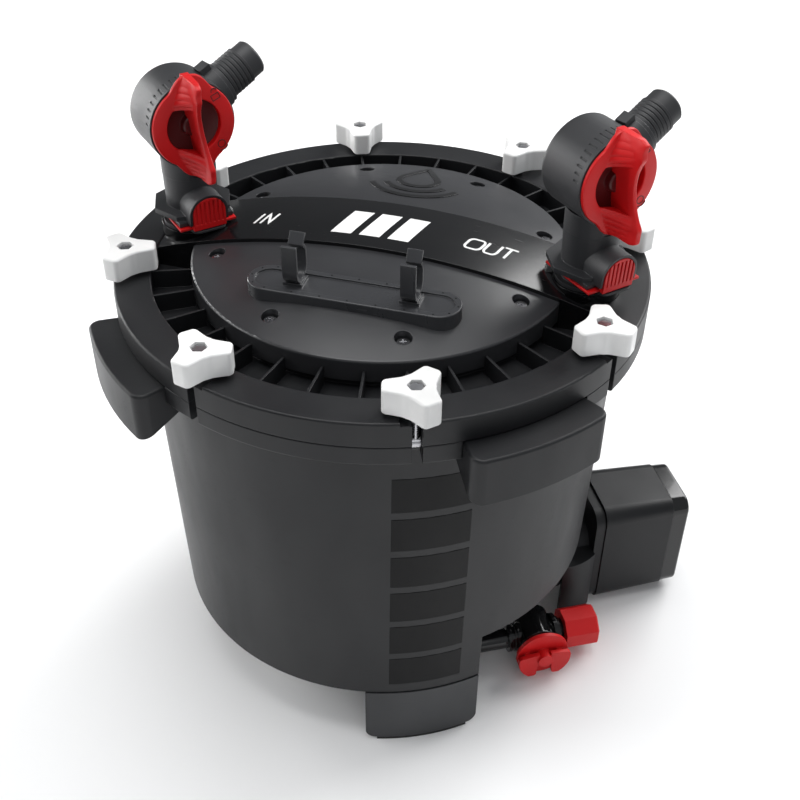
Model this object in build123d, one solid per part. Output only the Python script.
from build123d import *
import os
from math import cos, hypot, radians, sin, sqrt, tan

# Canister filter for a large aquarium, in millimetres, +Z up, standing on its feet.
# It is drawn about the canister's own axis, with the inlet valve on -X, the outlet valve
# on +X and the clip tray on -Y. The last lines move it so that the origin is the middle
# of the bounding box's base.

# ---- canister and lid
LID_R = 180.0
LID_TOP = 322.0
PART_Z = 304.5
FLANGE_Z = 291.0
WALL_TOP_R = 163.6
WALL_TAPER = 0.0303
WALL = 4.0
FLOOR_Z = 97.0
FLOOR = 5.0
SKIRT_Z = 54.0
PUMP_BAY = (-47.5, 41.5)
FOOT_ANGLES = (57.0, 177.0, 297.0)
FOOT_HALF = 15.5
RUBBER = 3.0

# ---- lid
CHANNEL_IN = 129.3
CHANNEL_OUT = 155.7
CHANNEL_Z = 308.0
RIB = 1.6
RIB_COUNT = 32
DOME_R = 469.5
DOME_TOP = LID_TOP + 23.4
COVER_R = 129.0
COVER = 3.0
SCREW_PCD_R = 110.9
BAND_HALF = 30.5
BAND = 2.5
SLOT_IN = 165.3
SLOT = 6.4

# ---- carrying handles
HANDLE_ANGLES = (45.0, 135.0, 225.0, 315.0)
HANDLE_HALF = 14.0
HANDLE_R = 199.5
HANDLE_Z = 270.0

# ---- clamps: a bolt that swings about a pin in the canister flange, under a three-lobed knob
CLAMP_ANGLES = [22.5 + 45.0 * k for k in range(8)]
CLAMP_R = 170.0
PIVOT_Z = 301.0
BOLT_R = 2.5
PIN_R = 2.0
FIT = 0.05
KNOB_Z = LID_TOP + 2.8
KNOB_H = 16.5
KNOB_TIP = 19.5
KNOB_TURNS = [angle + 180.0 for angle in CLAMP_ANGLES[:5]] + [15.0, 75.0, 105.0]

# ---- hose valves, drawn about the stem's axis with +X along the drum
VALVE_X = 137.5
VALVE_TURN = 316.0
DRUM_Z = LID_TOP + 84.5
DRUM_R = 29.2
LEVER_R = 28.1
DRUM_BACK = -21.4
DRUM_FRONT = 17.5
HOOD_Z = LID_TOP + 26.5
BALL_R = 13.5
BORE_R = 8.0
NOZZLE_TURN = 100.0
NOZZLE_TILT = 24.7
NOZZLE_START = 32.2
NOZZLE_END = 63.6
BARB_R = 13.1
SPIGOT_R = 12.2

# ---- pump and drain lie along one direction, drawn with +X along it
PUMP_TURN = 28.5
PUMP_Y = -30.0
PUMP_Z = 52.0
VOLUTE = (108.0, 133.0)
MOTOR = (168.0, 226.0, 240.0)
MOTOR_W = 62.0
MOTOR_H = 98.0
DRAFT = 2.4
DRAIN_Y = -98.0
DRAIN_Z = 22.0

BASE = (Align.CENTER, Align.CENTER, Align.MIN)


# ---- shape helpers

def outline(corners):
    """A face from (x, y) or (x, y, radius) corners; a radius rounds that corner."""
    count = len(corners)
    edges = []
    ends = []
    for i, corner in enumerate(corners):
        point = Vector(corner[0], corner[1])
        if len(corner) == 2:
            ends.append((point, point))
            continue
        before = Vector(*corners[i - 1][:2]) - point
        after = Vector(*corners[(i + 1) % count][:2]) - point
        half = radians(before.get_angle(after)) / 2
        start = point + before.normalized() * (corner[2] / tan(half))
        end = point + after.normalized() * (corner[2] / tan(half))
        middle = (before.normalized() + after.normalized()).normalized()
        top = point + middle * (corner[2] / sin(half) - corner[2])
        edges.append(ThreePointArc(start, top, end))
        ends.append((start, end))
    for i in range(count):
        a = ends[i][1]
        b = ends[(i + 1) % count][0]
        if (b - a).length > 1e-6:
            edges.append(Line(a, b))
    return make_face(edges)


def turned(corners, start=0.0, arc=360.0):
    """Turn an (r, z) outline about the vertical axis."""
    return Rot(0, 0, start) * revolve(Plane.XZ * outline(corners), Axis.Z, arc)


def rod(radius, z0, z1, x=0.0, y=0.0):
    return Pos(x, y, z0) * Cylinder(radius, z1 - z0, align=BASE)


def tube(outer, inner, z0, z1, x=0.0, y=0.0):
    return rod(outer, z0, z1, x, y) - rod(inner, z0, z1, x, y)


def lying(radius, x0, x1, y=0.0, z=0.0):
    """A rod along +X."""
    return Pos(x0, y, z) * Rot(0, 90, 0) * Cylinder(radius, x1 - x0, align=BASE)


def slab(x0, x1, y0, y1, z0, z1):
    size = (x1 - x0, y1 - y0, z1 - z0)
    return Pos((x0 + x1) / 2, (y0 + y1) / 2, (z0 + z1) / 2) * Box(*size)


def sector(r0, r1, z0, z1, middle, half):
    return turned([(r0, z0), (r1, z0), (r1, z1), (r0, z1)], middle - half, 2 * half)


def at_polar(radius, angle, z=0.0):
    return Rot(0, 0, angle) * Pos(radius, 0, z)


def wall_r(z):
    return WALL_TOP_R + (z - FLANGE_Z) * WALL_TAPER


def dome_z(radius, offset=0.0):
    centre = DOME_TOP - DOME_R
    return centre + sqrt((DOME_R + offset) ** 2 - radius ** 2)


def dome_ball(offset):
    return Pos(0, 0, DOME_TOP - DOME_R) * Sphere(DOME_R + offset)


def joined(parts):
    return Compound([solid for part in parts for solid in part.solids()])


# ---- canister

def canister():
    body = turned([
        (wall_r(SKIRT_Z), SKIRT_Z, 1.5),
        (wall_r(FLANGE_Z), FLANGE_Z, 3.0),
        (LID_R, FLANGE_Z, 2.0),
        (LID_R, PART_Z, 0.8),
        (wall_r(FLANGE_Z) - WALL, PART_Z, 1.0),
        (wall_r(FLOOR_Z) - WALL, FLOOR_Z + FLOOR, 12.0),
        (0, FLOOR_Z + FLOOR),
        (0, FLOOR_Z),
        (wall_r(FLOOR_Z) - WALL, FLOOR_Z, 2.0),
        (wall_r(SKIRT_Z) - WALL, SKIRT_Z, 1.5),
    ])
    first, last = PUMP_BAY
    middle = (first + last) / 2
    body -= sector(140, 170, SKIRT_Z - 5, FLOOR_Z, middle, (last - first) / 2)
    for angle in HANDLE_ANGLES:
        body -= sector(WALL_TOP_R + 0.6, LID_R + 5, FLANGE_Z - 4, PART_Z + 1, angle, HANDLE_HALF + 0.15)
    for angle in CLAMP_ANGLES:
        body -= Rot(0, 0, angle) * slab(SLOT_IN, LID_R + 5, -SLOT / 2, SLOT / 2, FLANGE_Z - 5, PART_Z + 5)
        body -= clamp_pin(angle)
    inlet = pump_place() * rod(9.5, FLOOR_Z - 1, FLOOR_Z + FLOOR + 1, 85, PUMP_Y)
    outlet = rod(9.5, FLOOR_Z - 1, FLOOR_Z + FLOOR + 1, VALVE_X, 0)
    drain = pump_place() * rod(6.0, FLOOR_Z - 1, FLOOR_Z + FLOOR + 1, 35, DRAIN_Y)
    riser_seat = rod(12.1, FLOOR_Z + FLOOR, FLOOR_Z + FLOOR + 13, VALVE_X, 0)
    return body - inlet - outlet - drain - riser_seat


def carry_handles():
    """Four hollow grips around the flange, open underneath for the fingers."""
    solids = []
    for angle in HANDLE_ANGLES:
        grip = turned([
            (WALL_TOP_R + 0.1, HANDLE_Z + 14),
            (HANDLE_R, HANDLE_Z),
            (HANDLE_R, PART_Z - 0.5),
            (WALL_TOP_R + 0.6, PART_Z - 0.5),
            (WALL_TOP_R + 0.6, FLANGE_Z - 3),
        ], angle - HANDLE_HALF, 2 * HANDLE_HALF)
        upright = [e for e in grip.edges().filter_by(Axis.Z) if hypot(e.center().X, e.center().Y) > HANDLE_R - 3]
        grip = fillet(upright, 8.0)
        grip = fillet(grip.faces().sort_by(Axis.Z)[-1].outer_wire().edges().filter_by(
            lambda e: hypot(e.center().X, e.center().Y) > LID_R + 3), 2.0)
        grip -= sector(WALL_TOP_R + 5, HANDLE_R - 4.5, HANDLE_Z - 5, PART_Z - 5, angle, HANDLE_HALF - 2.0)
        solids.append(grip)
    return joined(solids)


def base_feet():
    """Three leg panels under the skirt, each with a tongue behind it."""
    solids = []
    for angle in FOOT_ANGLES:
        leg = sector(150.5, 157.0, RUBBER, SKIRT_Z - 0.2, angle, FOOT_HALF)
        low = [e for e in leg.edges().filter_by(GeomType.LINE) if abs(e.center().Z - RUBBER) < 0.1]
        leg = fillet(low, 7.0)
        tongue = sector(147.5, wall_r(SKIRT_Z) - WALL - 0.05, SKIRT_Z - 6, SKIRT_Z + 26, angle, FOOT_HALF - 3)
        solids.append(leg + tongue)
    return joined(solids)


def foot_pads():
    """Rubber under the three legs and under the pump."""
    solids = [sector(150.8, 156.6, 0, RUBBER, angle, FOOT_HALF - 3) for angle in FOOT_ANGLES]
    pump_pad = slab(190, 222, PUMP_Y - 14, PUMP_Y + 14, 0, PUMP_Z - MOTOR_H / 2 + 4)
    solids.append(pump_place() * (pump_pad - motor_block(MOTOR[0], MOTOR[1], 0, 12.0)))
    return joined(solids)


def clamp_pin(angle):
    return at_polar(CLAMP_R, angle, PIVOT_Z) * Rot(90, 0, 0) * Cylinder(PIN_R, SLOT + 10)


def clamp_pins():
    return joined([clamp_pin(angle) for angle in CLAMP_ANGLES])


# ---- lid

def lid_frame():
    """Flange, deep ribbed channel, floor, and the ring that locates it in the canister."""
    frame = turned([
        (0, PART_Z),
        (152, PART_Z),
        (152, FLANGE_Z - 1, 1.0),
        (157.0, FLANGE_Z - 1, 1.0),
        (157.0, PART_Z),
        (LID_R, PART_Z, 0.8),
        (LID_R, LID_TOP, 1.5),
        (CHANNEL_OUT, LID_TOP, 1.0),
        (CHANNEL_OUT, CHANNEL_Z),
        (125.6, CHANNEL_Z),
        (125.6, LID_TOP - 2),
        (121.0, LID_TOP - 2),
        (121.0, CHANNEL_Z),
        (0, CHANNEL_Z),
    ])
    for k in range(RIB_COUNT):
        angle = 360.0 / RIB_COUNT * k
        if abs(sin(radians(angle))) * CHANNEL_IN < BAND_HALF + 1:
            continue
        frame += Rot(0, 0, angle) * slab(CHANNEL_IN, CHANNEL_OUT + 0.5, -RIB / 2, RIB / 2,
                                         CHANNEL_Z - 0.5, LID_TOP - 1)
    for k in range(8):
        boss = rod(4.5, CHANNEL_Z - 0.5, dome_z(SCREW_PCD_R) - 9.2) - rod(1.9, CHANNEL_Z + 2, LID_TOP + 30)
        frame += at_polar(SCREW_PCD_R, CLAMP_ANGLES[k]) * boss
    for angle in CLAMP_ANGLES:
        frame -= Rot(0, 0, angle) * slab(SLOT_IN, LID_R + 5, -SLOT / 2, SLOT / 2, PART_Z - 1, LID_TOP + 1)
        frame -= Rot(0, 0, angle) * slab(LID_R - 8, LID_R + 5, -10, 10, LID_TOP - 2, LID_TOP + 1)
    for side in (-1, 1):
        frame -= rod(22.6, PART_Z, LID_TOP + 5, side * VALVE_X)
        frame -= rod(19.0, FLANGE_Z - 5, PART_Z + 1, side * VALVE_X)
    return frame


def lid_cover():
    """Domed centre plate, screwed down through eight recesses."""
    under = COVER_R - COVER
    arc_top = ThreePointArc((0, DOME_TOP), (64, dome_z(64)), (COVER_R - 1.5, dome_z(COVER_R - 1.5)))
    arc_low = ThreePointArc((0, DOME_TOP - COVER), (64, dome_z(64, -COVER)), (under, dome_z(under, -COVER)))
    edge = COVER_R - 1.5, dome_z(COVER_R - 1.5)
    rim = [
        ThreePointArc(edge, (COVER_R - 0.4, edge[1] - 0.6), (COVER_R, edge[1] - 1.8)),
        Line((COVER_R, edge[1] - 1.8), (COVER_R, LID_TOP - 9)),
        Line((COVER_R, LID_TOP - 9), (under, LID_TOP - 9)),
        Line((under, LID_TOP - 9), (under, dome_z(under, -COVER))),
        Line((0, DOME_TOP - COVER), (0, DOME_TOP)),
    ]
    cover = revolve(Plane.XZ * make_face([arc_top, arc_low] + rim), Axis.Z)
    for k in range(8):
        place = at_polar(SCREW_PCD_R, CLAMP_ANGLES[k])
        seat = dome_z(SCREW_PCD_R) - 5.5
        cover += place * rod(8.0, seat - 3.0, dome_z(SCREW_PCD_R) - 2)
        cover -= place * rod(5.6, seat, DOME_TOP)
        cover -= place * rod(2.1, seat - 5, DOME_TOP)
    for side in (-1, 1):
        cover -= rod(22.6, PART_Z, DOME_TOP, side * VALVE_X)
    return cover


def cover_screws():
    """Pan-head screws with a cross slot, down in the cover's recesses."""
    solids = []
    seat = dome_z(SCREW_PCD_R) - 5.5
    for k in range(8):
        screw = rod(1.9, seat - 14, seat + 1) + rod(4.0, seat, seat + 2.4)
        screw -= slab(-2.2, 2.2, -0.5, 0.5, seat + 1.2, seat + 3)
        screw -= slab(-0.5, 0.5, -2.2, 2.2, seat + 1.2, seat + 3)
        solids.append(at_polar(SCREW_PCD_R, CLAMP_ANGLES[k]) * screw)
    return joined(solids)


def lid_bridge():
    """Raised band across the lid, with a socket under each valve."""
    band = slab(-CHANNEL_OUT, CHANNEL_OUT, -BAND_HALF, BAND_HALF, CHANNEL_Z, DOME_TOP + 5) & dome_ball(BAND)
    band &= rod(CHANNEL_OUT - 0.1, CHANNEL_Z, DOME_TOP + 5)
    band -= rod(COVER_R + 0.1, CHANNEL_Z - 1, DOME_TOP + 5) & dome_ball(0)
    for side in (-1, 1):
        x = side * VALVE_X
        band -= rod(27.0, LID_TOP + 1, DOME_TOP, x)
        band += rod(22.5, CHANNEL_Z, LID_TOP + 9, x) + rod(18.8, FLANGE_Z + 3, CHANNEL_Z + 1, x)
        band -= rod(17.1, FLANGE_Z + 9, LID_TOP + 10, x)
        band -= rod(12.1, FLANGE_Z - 1, LID_TOP, x)
        lug = slab(x - side * 24.2 - 2.7, x - side * 24.2 + 2.7, -4.2, 4.2, LID_TOP + 0.5, LID_TOP + 10.5)
        band += lug - (dome_ball(0) - rod(22.6, 0, DOME_TOP + 50, x))
    return band


def stadium(length, width, z0, z1, x=3.0, y=-76.0):
    return Pos(x, y, z0) * extrude(SlotOverall(length, width), z1 - z0)


def clip_tray():
    """Flat tray on the dome with a sunk middle and two C-shaped cable clips."""
    top = LID_TOP + 20.5
    tray = stadium(138, 29.5, LID_TOP + 5, top) - dome_ball(0)
    tray = fillet(tray.edges().group_by(Axis.Z)[-1], 0.8)
    tray -= stadium(129, 20.5, top - 1.2, top + 1)
    for x in (-35.2, 40.0):
        tray += Pos(x, -75.0, LID_TOP + 30.2) * hose_clip()
    return tray


def clip_loop(radius, half):
    """Long round shape about +X, 6 taller than it is deep."""
    return lying(radius, -half, half) + lying(radius, -half, half, 0, 6) + slab(-half, half, -radius, radius, 0, 6)


def hose_clip():
    """Loop on a small foot with a straight front post and a ramp behind its mouth."""
    half = 4.8
    clip = clip_loop(9.6, half) - clip_loop(7.4, half + 1)
    clip -= slab(-half - 1, half + 1, -20, 3.3, 6, 20)
    clip += slab(-half, half, -9.6, -7.4, 5, 18.5)
    clip += Pos(0, 3.3, 15.3) * Rot(52.6, 0, 0) * slab(-half, half, -1.5, 6.9, -2.1, 0)
    return clip + slab(-half - 1.5, half + 1.5, -6, 6, -11.2, -8.9)


def lid_seal():
    """Soft ring under the lid's flange."""
    return turned([(157.0, FLANGE_Z + 1), (159.0, FLANGE_Z + 1), (159.0, FLANGE_Z + 5), (157.0, FLANGE_Z + 5)])


# ---- clamps

def clamp_bolt():
    """Eye, rod and nut, upright about the pivot at the origin."""
    eye = Rot(90, 0, 0) * Cylinder(4.0, SLOT - 0.7)
    top = KNOB_Z + KNOB_H - PIVOT_Z
    shape = eye + rod(BOLT_R, 0, top - 1.6)
    nut = extrude(RegularPolygon(4.6, 6), 3.6)
    shape += Pos(0, 0, top - 4.95) * nut
    return shape - Rot(90, 0, 0) * Cylinder(PIN_R + FIT, SLOT)


def knob_outline():
    """Three lobes around a hub."""
    shape = Circle(11.5)
    for k in range(3):
        lobe = Rot(0, 0, 120 * k) * outline([
            (0, -10.5), (KNOB_TIP, -5.6, 3.4), (KNOB_TIP, 5.6, 3.4), (0, 10.5),
        ])
        shape += lobe
    valleys = [v for v in shape.vertices() if 9.5 < hypot(v.X, v.Y) < 14.5]
    return fillet(valleys, 9.0)


def clamp_knob():
    """Three-lobed hand knob with a hexagonal well for the nut."""
    knob = extrude(knob_outline(), KNOB_H)
    knob = fillet(knob.edges().group_by(Axis.Z)[-1], 1.6)
    knob = fillet(knob.edges().group_by(Axis.Z)[0], 0.8)
    knob -= Pos(0, 0, KNOB_H - 5) * extrude(RegularPolygon(5.5, 6), 6)
    return knob - rod(BOLT_R + FIT, -1, KNOB_H + 1)


def clamps(nodes):
    for k, angle in enumerate(CLAMP_ANGLES):
        nodes[f"clamp_bolt_{k + 1}"] = at_polar(CLAMP_R, angle, PIVOT_Z) * clamp_bolt()
        spot = at_polar(CLAMP_R, angle, KNOB_Z).position
        nodes[f"clamp_knob_{k + 1}"] = Pos(*spot) * Rot(0, 0, KNOB_TURNS[k]) * clamp_knob()


# ---- valves

def valve_place(side):
    return Pos(side * VALVE_X, 0, 0) * Rot(0, 0, VALVE_TURN)


def nozzle_place():
    """+Z runs out along the nozzle from the middle of the ball."""
    return Pos(0, 0, DRUM_Z) * Rot(0, 0, NOZZLE_TURN) * Rot(0, 90 - NOZZLE_TILT, 0)


def release_hood():
    """Half-round hood over the release tab, nearly upright in front."""
    arch = lying(13.7, 12, 36, 0, HOOD_Z) + slab(12, 36, -13.7, 13.7, LID_TOP + 19.5, HOOD_Z)
    hollow = lying(12.0, 10, 45, 0, HOOD_Z) + slab(10, 45, -12.0, 12.0, LID_TOP + 10, HOOD_Z)
    front = Plane.XZ * Polyline((28.8, LID_TOP + 10), (32, LID_TOP + 42), (60, LID_TOP + 42),
                                (60, LID_TOP + 10), close=True)
    cut = extrude(make_face(front), 30, both=True)
    low = slab(0, 60, -20, 20, LID_TOP, LID_TOP + 19.5)
    return arch - hollow - cut - low


def valve_stem():
    """Neck that widens upwards into an open cup under the drum."""
    neck = turned([(0, LID_TOP + 9), (17.4, LID_TOP + 9), (18.2, LID_TOP + 48), (0, LID_TOP + 48)])
    cup = tube(18.3, 16.6, LID_TOP + 46, LID_TOP + 60) & slab(-20, 17.3, -20, 20, LID_TOP + 40, LID_TOP + 70)
    return neck + cup + rod(13.0, LID_TOP + 46, DRUM_Z)


def valve_body():
    drum = lying(DRUM_R, DRUM_BACK, DRUM_FRONT, 0, DRUM_Z)
    drum = fillet(drum.edges().group_by(Axis.X)[0], 3.0)
    plate = Pos(0, 0, LID_TOP + 20) * extrude(RegularPolygon(27.5, 8), 3.5)
    plate += rod(20.5, LID_TOP + 17.3, LID_TOP + 20.2) + slab(0, 24, -19.3, 19.3, LID_TOP + 17.3, LID_TOP + 20.2)
    plate -= slab(19, 45, -12.2, 12.2, LID_TOP + 14.9, LID_TOP + 30.5)
    lip = slab(0, 31.5, -12, 12, LID_TOP + 13.4, LID_TOP + 14.9)
    lip = fillet(lip.edges().filter_by(Axis.Z).group_by(Axis.X)[-1], 5.0)
    body = drum + valve_stem() + plate + lip
    body += rod(16.95, PART_Z, LID_TOP + 9) + rod(21.0, LID_TOP + 9, LID_TOP + 11.5)
    body += release_hood()
    body += nozzle_place() * rod(15.5, 14, NOZZLE_START)
    body += nozzle_place() * slab(-19.5, -12, -4, 4, 24, NOZZLE_START)
    # water way, ball chamber and the lever's recess
    body -= lying(BALL_R + FIT, -BALL_R - 0.1, DRUM_FRONT + 1, 0, DRUM_Z)
    body -= lying(20.8, 13.0, DRUM_FRONT + 1, 0, DRUM_Z)
    body -= rod(BORE_R + 2, PART_Z - 1, DRUM_Z - 14)
    body -= rod(BORE_R, PART_Z, DRUM_Z)
    body -= nozzle_place() * rod(BORE_R, 0, NOZZLE_START + 1)
    return body


def flow_scale():
    """Row of marks on the drum that grow longer, cut half a millimetre deep."""
    marks = []
    for k in range(11):
        length = 4.0 + 0.7 * k
        mark = slab(DRUM_FRONT - 3 - length, DRUM_FRONT - 3, -0.6, 0.6, DRUM_R - 0.5, DRUM_R + 1)
        marks.append(Pos(0, 0, DRUM_Z) * Rot(80 - 9 * k, 0, 0) * mark)
    return marks


def valve_nozzle():
    """Barbed hose tail with a plain end."""
    barbs = 6
    start = NOZZLE_START + 3
    pitch = (NOZZLE_END - 10.4 - start) / barbs
    profile = [(BORE_R + 0.5, NOZZLE_START), (14.6, NOZZLE_START), (14.6, start)]
    for k in range(barbs):
        low = start + pitch * k
        profile.append((12.3, low))
        profile.append((12.3, low + 0.9))
        profile.append((12.8, low + 1.0))
        profile.append((BARB_R, low + pitch))
    profile += [(SPIGOT_R, NOZZLE_END - 10.4), (SPIGOT_R, NOZZLE_END - 1.4), (SPIGOT_R - 1.2, NOZZLE_END),
                (BORE_R + 1.5, NOZZLE_END), (BORE_R + 0.5, NOZZLE_END - 1.5)]
    return nozzle_place() * turned(profile)


def valve_ball():
    """Ball with a bent water way and a square tang for the lever."""
    ball = Pos(0, 0, DRUM_Z) * Sphere(BALL_R)
    ball += slab(8, 17.6, -4, 4, DRUM_Z - 4, DRUM_Z + 4)
    ball -= rod(BORE_R, DRUM_Z - 20, DRUM_Z)
    return ball - nozzle_place() * rod(BORE_R, 0, 20)


def lever_fin():
    """Upright grip that leans into an S, thickest at its two ends."""
    points = [(-1.5, 35), (-2.5, 24), (0.6, 10), (0, 0), (-0.6, -10), (2.5, -24), (1.5, -35)]
    left = Spline([Vector(y - 2.4, z) for y, z in points])
    right = Spline([Vector(y + 2.4, z) for y, z in points])
    ends = [Line(left @ 0, right @ 0), Line(left @ 1, right @ 1)]
    face = Plane.YZ * make_face([left, right] + ends)
    fin = Pos(14.5, 0, DRUM_Z) * extrude(face, 26.0)
    scallop = Pos(78.0, 0, DRUM_Z) * Rot(90, 0, 0) * Cylinder(44.5, 60)
    return fin - scallop


def lever_wedge(sign):
    """Ribbed thumb wedge between the ring and one end of the fin."""
    flank = outline([(17.8, -13.5), (17.8, 13.5), (39.5, 2.8), (39.5, -2.8)])
    wedge = Pos(0, -sign * 1.2, DRUM_Z) * extrude(flank, 36.0)
    wedge -= Pos(0, 0, DRUM_Z) * Box(200, 200, 42)
    if sign < 0:
        wedge = Pos(0, 0, 2 * DRUM_Z) * mirror(wedge, Plane.XY)
    return wedge


def valve_lever():
    """Red ring lever with a sunk middle and a fin across it."""
    eye = Plane.YZ * make_hull_face()
    blank = Pos(17.8, 0, DRUM_Z) * extrude(eye, 2.4)
    reach = Pos(17.8, 0, DRUM_Z) * extrude(eye, 24)
    lever = blank + lying(20.4, 13.4, 18.5, 0, DRUM_Z)
    lever -= lying(18.4, 15.4, 30, 0, DRUM_Z)
    lever += lever_fin() & (reach + lying(18.4, 14.6, 41.0, 0, DRUM_Z))
    for sign in (1, -1):
        lever += lever_wedge(sign) & reach
    tang = slab(10, 17.65, -4.05, 4.05, DRUM_Z - 4.05, DRUM_Z + 4.05)
    return lever + lying(6.8, 15, 19.5, 0, DRUM_Z) - tang


def make_hull_face():
    """Ring outline drawn out to a blunt point above and below."""
    shape = Circle(LEVER_R)
    for sign in (1, -1):
        shape += outline([(-21, sign * 17.5), (-6.5, sign * 34.5, 1.5), (6.5, sign * 34.5, 1.5),
                          (21, sign * 17.5)])
    return shape


def valve_release():
    """Red push tab with a fork that runs back on both sides of the neck."""
    z0 = LID_TOP + 15.5
    tab = lying(11.6, 20, 40, 0, HOOD_Z) + slab(20, 40, -11.6, 11.6, z0, HOOD_Z)
    face = Plane.XZ * Polyline((26.0, z0), (30.5, z0), (32.0, LID_TOP + 40), (28.0, LID_TOP + 40), close=True)
    tab &= extrude(make_face(face), 30, both=True)
    for k in range(-3, 4):
        tab -= slab(30.2, 33, 3.1 * k - 0.7, 3.1 * k + 0.7, z0 + 4, LID_TOP + 36)
    fork = slab(21, 27, -20.2, 20.2, z0, z0 + 1.5)
    for side in (-1, 1):
        fork += slab(-18, 27, side * 19.2 - 1.0, side * 19.2 + 1.0, z0, z0 + 1.5)
    return tab + fork


def valves(nodes):
    for label, side in (("inlet", -1), ("outlet", 1)):
        place = valve_place(side)
        body = valve_body()
        for mark in flow_scale():
            body -= mark
        nodes[f"{label}_valve_body"] = place * body
        nodes[f"{label}_nozzle"] = place * valve_nozzle()
        nodes[f"{label}_ball"] = place * valve_ball()
        nodes[f"{label}_lever"] = place * valve_lever()
        nodes[f"{label}_release"] = place * valve_release()


def riser_tube():
    """Carries the pump's water up to the outlet valve."""
    return tube(12.05, 9.5, FLOOR_Z + FLOOR, FLANGE_Z + 9, VALVE_X)


# ---- pump, drawn with +X along the shaft

def pump_place():
    return Rot(0, 0, PUMP_TURN)


def motor_block(x0, x1, inset, corner):
    """Rounded block that narrows by the mould draft away from the canister."""
    narrow = 2 * (x0 - MOTOR[0]) * tan(radians(DRAFT))
    face = RectangleRounded(MOTOR_W - 2 * inset - narrow, MOTOR_H - 2 * inset - narrow, corner)
    sketch = Plane(origin=(x0, PUMP_Y, PUMP_Z), x_dir=(0, 1, 0), z_dir=(1, 0, 0)) * face
    return extrude(sketch, x1 - x0, taper=DRAFT)


def pump_housing():
    """Volute, neck, mounting plate and the wet well for the rotor."""
    x0, x1 = VOLUTE
    body = lying(38.0, x0, x1, PUMP_Y, PUMP_Z) + lying(24.0, x1, MOTOR[0] - 8, PUMP_Y, PUMP_Z)
    plate = Plane(origin=(MOTOR[0] - 8, PUMP_Y, PUMP_Z), x_dir=(0, 1, 0), z_dir=(1, 0, 0))
    body += extrude(plate * RectangleRounded(60, 94, 12), 7.7)
    body += slab(x1 - 1, MOTOR[0] - 8, PUMP_Y - 30, PUMP_Y + 30, PUMP_Z - 4, PUMP_Z + 4)
    body += pump_bracket()
    body += lying(15.0, MOTOR[0] - 1, 216, PUMP_Y, PUMP_Z)
    outlet_u, outlet_v = riser_foot()
    body += rod(11.0, PUMP_Z, FLOOR_Z, outlet_u, outlet_v)
    body += rod(15.0, FLOOR_Z - 4, FLOOR_Z, outlet_u, outlet_v)
    body -= lying(34.0, x0 - 1, x1 - 4, PUMP_Y, PUMP_Z)
    body -= lying(13.0, x1 - 10, 212, PUMP_Y, PUMP_Z)
    body -= rod(8.0, PUMP_Z, FLOOR_Z + 1, outlet_u, outlet_v)
    return body


def pump_bracket():
    """Bowed side panels under the canister that carry the motor's plate."""
    x, x1 = VOLUTE[1] + 1, MOTOR[0] - 7.5
    room = slab(x - 3, x1, PUMP_Y - 50, PUMP_Y + 50, 5, 62)
    bowed = (rod(42.0, 5, 62, x, PUMP_Y) - rod(39.0, 4, 59, x, PUMP_Y)) & room
    return bowed + slab(x1 - 3, x1, PUMP_Y - 32, PUMP_Y + 32, 5, 62)


def riser_foot():
    turn = radians(PUMP_TURN)
    return VALVE_X * cos(turn), -VALVE_X * sin(turn)


def volute_cover():
    """Front plate of the volute with the bent inlet from the canister's floor."""
    x0 = VOLUTE[0]
    cover = lying(38.0, x0 - 4, x0, PUMP_Y, PUMP_Z) + lying(12.5, 73, x0, PUMP_Y, PUMP_Z)
    cover += rod(12.5, PUMP_Z, FLOOR_Z, 85, PUMP_Y)
    cover -= lying(9.5, 76, x0 - 4.1, PUMP_Y, PUMP_Z) + lying(2.5, x0 - 3, x0 + 1, PUMP_Y, PUMP_Z)
    cover -= rod(9.5, PUMP_Z, FLOOR_Z + 1, 85, PUMP_Y)
    for k in range(3):
        cover -= Pos(0, PUMP_Y, PUMP_Z) * Rot(120 * k + 60, 0, 0) * slab(x0 - 5, x0 + 1, -2.6, 2.6, 3.6, 8.6)
    return cover


def impeller_shaft():
    return lying(2.5, VOLUTE[0] - 3, 211.5, PUMP_Y, PUMP_Z)


def impeller():
    """Backplate, six straight blades and a sleeve that reaches the magnet."""
    x0 = VOLUTE[0] + 2
    wheel = lying(26.0, x0 + 14, x0 + 16, PUMP_Y, PUMP_Z) + lying(6.5, x0, 160, PUMP_Y, PUMP_Z)
    for k in range(6):
        blade = slab(x0, x0 + 15, -1.0, 1.0, 5.0, 26.0)
        wheel += Pos(0, PUMP_Y, PUMP_Z) * Rot(60 * k, 0, 0) * blade
    return wheel - lying(2.5 + FIT, x0 - 1, 161, PUMP_Y, PUMP_Z)


def rotor_magnet():
    return lying(12.2, 160, 207, PUMP_Y, PUMP_Z) - lying(2.5 + FIT, 159, 208, PUMP_Y, PUMP_Z)


def stator_coil():
    """Wound stator around the wet well."""
    core = slab(175, 213, PUMP_Y - 21, PUMP_Y + 21, PUMP_Z - 34, PUMP_Z + 22)
    winding = slab(178, 210, PUMP_Y - 23.5, PUMP_Y + 23.5, PUMP_Z - 32, PUMP_Z - 18)
    return core + winding - lying(15.1, 170, 220, PUMP_Y, PUMP_Z)


def motor_case():
    x0, x1, _ = MOTOR
    case = motor_block(x0, x1, 0, 12.0) - motor_block(x0 - 0.001, x1 - 0.01, 3.0, 9.0)
    return case - gland_place() * Cylinder(6.5, 20)


def motor_end_cap():
    """Glossy end of the motor housing."""
    _, x1, x2 = MOTOR
    cap = motor_block(x1, x2, 0, 11.4)
    cap = fillet(cap.edges().group_by(Axis.X)[-1], 2.5)
    return cap - motor_block(x1 - 0.001, x2 - 4, 3.0, 8.4)


def gland_place():
    return Pos(200, PUMP_Y + MOTOR_W / 2 - 2.9, PUMP_Z - 22) * Rot(90, 0, 0)


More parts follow.
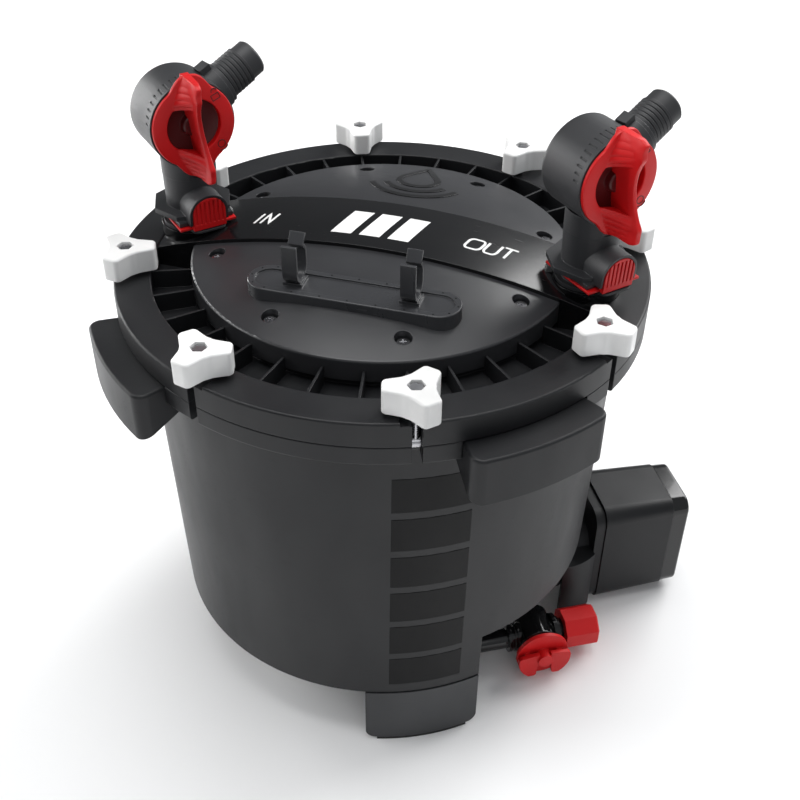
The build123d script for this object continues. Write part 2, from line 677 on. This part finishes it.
def cable_inlet():
    """Rubber ring where the lead enters."""
    gland = gland_place() * (Cylinder(6.5, 5.0) + Pos(0, 0, -3.2) * Cylinder(8.5, 2.4))
    return gland - gland_place() * Cylinder(3.5, 30)


# ---- drain, drawn with +X along the pipe

def drain_pipe():
    """Elbow from the canister's floor and a straight pipe to the valve."""
    y, z = DRAIN_Y, DRAIN_Z
    pipe = rod(9.0, z, FLOOR_Z, 35, y) + Pos(35, y, z) * Sphere(9.0)
    pipe += lying(7.9, 35, 84, y, z) + lying(11.0, 77.6, 80.4, y, z)
    pipe -= rod(6.0, z, FLOOR_Z + 1, 35, y)
    return pipe - lying(5.5, 35, 85, y, z)


def drain_valve_body():
    """Barrel across the pipe with a threaded neck and spigot."""
    y, z = DRAIN_Y, DRAIN_Z
    body = Pos(101, y + 2, z) * Rot(90, 0, 0) * Cylinder(15.5, 30)
    body = fillet(body.edges().filter_by(GeomType.CIRCLE), 1.5)
    body += lying(10.5, 80.4, 120, y, z) + lying(13.5, 114.5, 117.5, y, z)
    for x in (82.6, 85.0):
        body += lying(11.4, x, x + 1.2, y, z)
    body += lying(8.5, 117, 127.0, y, z)
    body -= lying(8.0, 80, 84, y, z)
    body -= lying(5.5, 80, 128, y, z)
    return body - Pos(101, y - 1, z) * Rot(90, 0, 0) * Cylinder(9.55, 34)


def drain_plug():
    """Quarter-turn plug with a cross bore."""
    plug = Pos(101, DRAIN_Y - 1, DRAIN_Z) * Rot(90, 0, 0) * Cylinder(9.5, 33.8)
    return plug - lying(5.5, 90, 112, DRAIN_Y, DRAIN_Z)


def drain_handle():
    """Butterfly grip: a round back plate and two wings beside the screw hub."""
    local = outline([(-20.5, 9, 6.0), (-20.5, -13.5, 6.0), (20.5, -13.5, 6.0), (20.5, 9, 6.0)]) + Circle(20.5)
    plate = extrude(local & Rectangle(60, 41), 3.0)
    grip = plate + Cylinder(6.0, 11.0, align=BASE)
    for side in (-1, 1):
        wing = outline([(side * 4.5, 6), (side * 21, 4, 3.0), (side * 20, -17, 5.0), (side * 6.5, -17, 2.0)])
        grip += Pos(0, 0, 5.5) * extrude(wing, 3.5)
        grip += Pos(side * 13, -4, 2) * Box(4, 16, 5, align=BASE)
    grip &= Cylinder(21.0, 40)
    front = Plane(origin=(101, DRAIN_Y - 18.3, DRAIN_Z), x_dir=(1, 0, 0), z_dir=(0, -1, 0))
    return front.location * grip


def drain_cap():
    """Eight-sided cap over the spigot."""
    cap = Pos(123.0, DRAIN_Y, DRAIN_Z) * Rot(0, 90, 0) * Rot(0, 0, 22.5) * extrude(RegularPolygon(16.2, 8), 27.0)
    cap = chamfer(cap.edges().group_by(Axis.X)[-1], 1.2)
    return cap - lying(8.5 + 0.08, 122, 145, DRAIN_Y, DRAIN_Z)


def pump_and_drain(nodes):
    builders = (pump_housing, volute_cover, impeller_shaft, impeller, rotor_magnet, stator_coil,
                motor_case, motor_end_cap, cable_inlet, drain_pipe, drain_valve_body, drain_plug,
                drain_handle, drain_cap)
    for build in builders:
        nodes[build.__name__] = pump_place() * build()


# ---- filter media

def media_basket(level):
    """Open basket with a slotted floor."""
    z = FLOOR_Z + FLOOR + 10 + 56.0 * level
    basket = turned([(0, z), (103, z, 2.0), (103, z + 54), (100.4, z + 54), (100.4, z + 2.5), (0, z + 2.5)])
    for k in range(24):
        for r0, r1 in ((24, 56), (62, 94)):
            basket -= Rot(0, 0, 15 * k) * slab(r0, r1, -1.8, 1.8, z - 1, z + 4)
    for k in range(4):
        basket += at_polar(90, 90 * k + 45) * rod(5.0, z - (10 if level == 0 else 2), z + 0.5)
    return basket


def foam_sleeves():
    """Soft rings around the baskets."""
    z = FLOOR_Z + FLOOR + 10
    return joined([tube(122.0, 103.5, z + 56 * k, z + 56 * k + 52) for k in range(3)])


# ---- assembly

def build_nodes():
    nodes = {}
    for build in (canister, carry_handles, base_feet, foot_pads, clamp_pins, lid_frame, lid_cover,
                  cover_screws, lid_bridge, clip_tray, lid_seal, riser_tube, foam_sleeves):
        nodes[build.__name__] = build()
    for level, name in enumerate(("lower", "middle", "upper")):
        nodes[f"{name}_basket"] = media_basket(level)
    clamps(nodes)
    valves(nodes)
    pump_and_drain(nodes)
    return nodes


def main():
    nodes = build_nodes()
    reach = nodes["motor_end_cap"].bounding_box().max.X
    centre = Pos(-(reach - LID_R) / 2, 0, 0)
    os.makedirs("parts", exist_ok=True)
    for name, shape in nodes.items():
        export_step(centre * shape, f"parts/{name}.step")


main()
